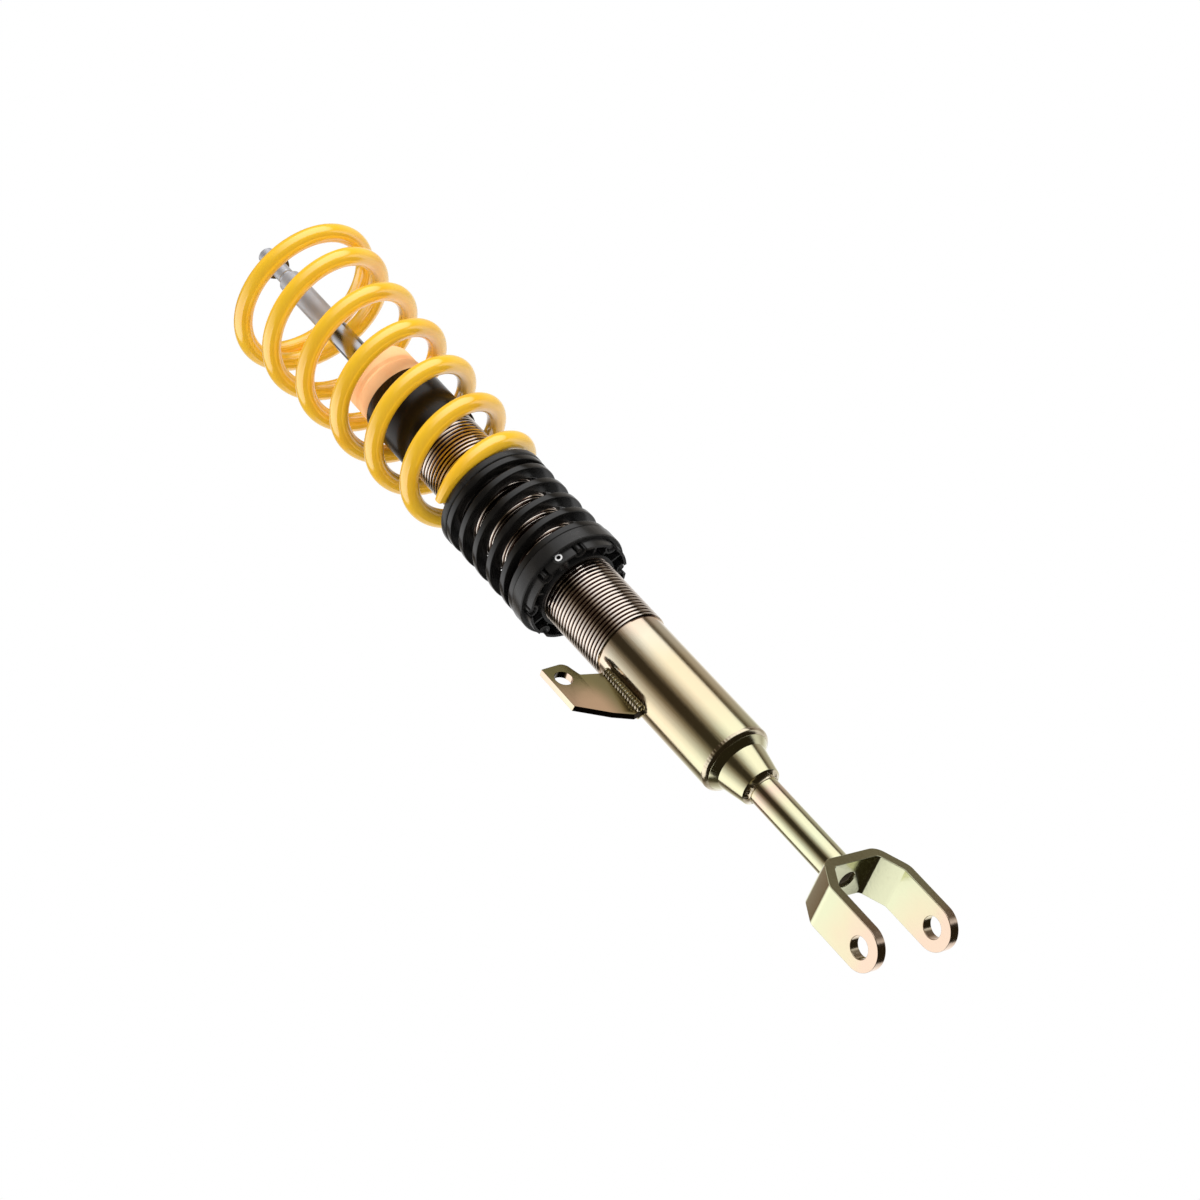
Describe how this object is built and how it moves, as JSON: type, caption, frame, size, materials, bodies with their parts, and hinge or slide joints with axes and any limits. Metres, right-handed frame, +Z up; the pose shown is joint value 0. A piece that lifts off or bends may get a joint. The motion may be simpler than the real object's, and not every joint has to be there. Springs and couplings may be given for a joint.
{
  "type": "coilover",
  "caption": "Threaded-body coilover strut with yellow main spring, black helper spring, adjustable perch, bump stop, link bracket and fork foot",
  "frame": {"origin": "The fork's bolt axis where it crosses the strut axis", "axes": "+Z runs up the strut towards the rod's stud, +X runs along the fork's bolt axis, +Y completes a right-handed frame and runs along the width of the fork plate"},
  "size_m": [0.1169, 0.1166, 0.7262],
  "materials": {
    "gold_steel": "smooth steel with a pale gold iridescent passivation",
    "weld_steel": "rippled weld beads under the same pale gold passivation",
    "dark_steel": "plain oiled steel",
    "bright_steel": "bright zinc-plated steel",
    "chrome_rod": "hard-chromed and polished",
    "bronze": "bearing bronze",
    "bearing_band": "filled fluoropolymer band",
    "seal_rubber": "smooth black rubber",
    "boot_rubber": "smooth black rubber with a soft sheen",
    "salmon_foam": "dense closed-cell foam, matte",
    "perch_black": "glass-filled black plastic, satin",
    "helper_black": "satin black paint",
    "spring_yellow": "glossy yellow powder coat"
  },
  "bodies": {
    "housing": {"strut_tube": "gold_steel", "end_disc": "gold_steel", "tube_weld": "weld_steel", "cone_adapter": "gold_steel", "cone_weld": "weld_steel", "stub_tube": "gold_steel", "stub_weld": "weld_steel", "fork": "gold_steel", "link_bracket": "gold_steel", "bracket_weld": "weld_steel", "pressure_tube": "dark_steel", "base_valve": "dark_steel", "rod_guide": "dark_steel", "guide_bush": "bronze", "rod_seal": "seal_rubber", "gland_nut": "dark_steel"},
    "rod": {"piston_rod": "chrome_rod", "stud_nut": "bright_steel", "rebound_stop": "dark_steel", "piston": "dark_steel", "piston_band": "bearing_band", "valve_shims": "bright_steel", "piston_nut": "dark_steel"},
    "stop": {"bump_stop": "salmon_foam", "dust_boot": "boot_rubber"},
    "spring_carrier": {"helper_spring": "helper_black"},
    "perch": {"perch_ring": "perch_black"},
    "lock": {"lock_screw": "bright_steel"},
    "coupler": {"spring_coupler": "perch_black", "main_spring": "spring_yellow"}
  },
  "joints": [
    {"name": "rod_slide", "type": "slide", "parent": "housing", "child": "rod", "axis": [0, 0, 1], "range_m": [-0.095, 0], "stiffness_N_per_m": 400, "springref_m": 0.4, "deforming": ["main_spring"]},
    {"name": "boot_slide", "type": "slide", "parent": "housing", "child": "stop", "axis": [0, 0, 1], "range_m": [0, 0.025]},
    {"name": "perch_travel", "type": "slide", "parent": "housing", "child": "spring_carrier", "axis": [0, 0, 1], "range_m": [-0.04, 0.03]},
    {"name": "perch_turn", "type": "hinge", "parent": "spring_carrier", "child": "perch", "pos_m": [0, 0, 0.34], "axis": [0, 0, 1], "range_deg": [-4802, 3602]},
    {"name": "helper_squeeze", "type": "slide", "parent": "spring_carrier", "child": "coupler", "axis": [0, 0, 1], "range_m": [-0.04, 0], "stiffness_N_per_m": 12000, "springref_m": 0.002, "deforming": ["helper_spring"]},
    {"name": "lock_turn", "type": "hinge", "parent": "perch", "child": "lock", "pos_m": [-0.02251, -0.02414, 0.3353], "axis": [-0.682, -0.7314, 0], "range_deg": [0, 360]}
  ],
  "couplings": [
    {"joint": "perch_turn", "follows": "perch_travel", "rad_per_m": 2094.4}
  ]
}
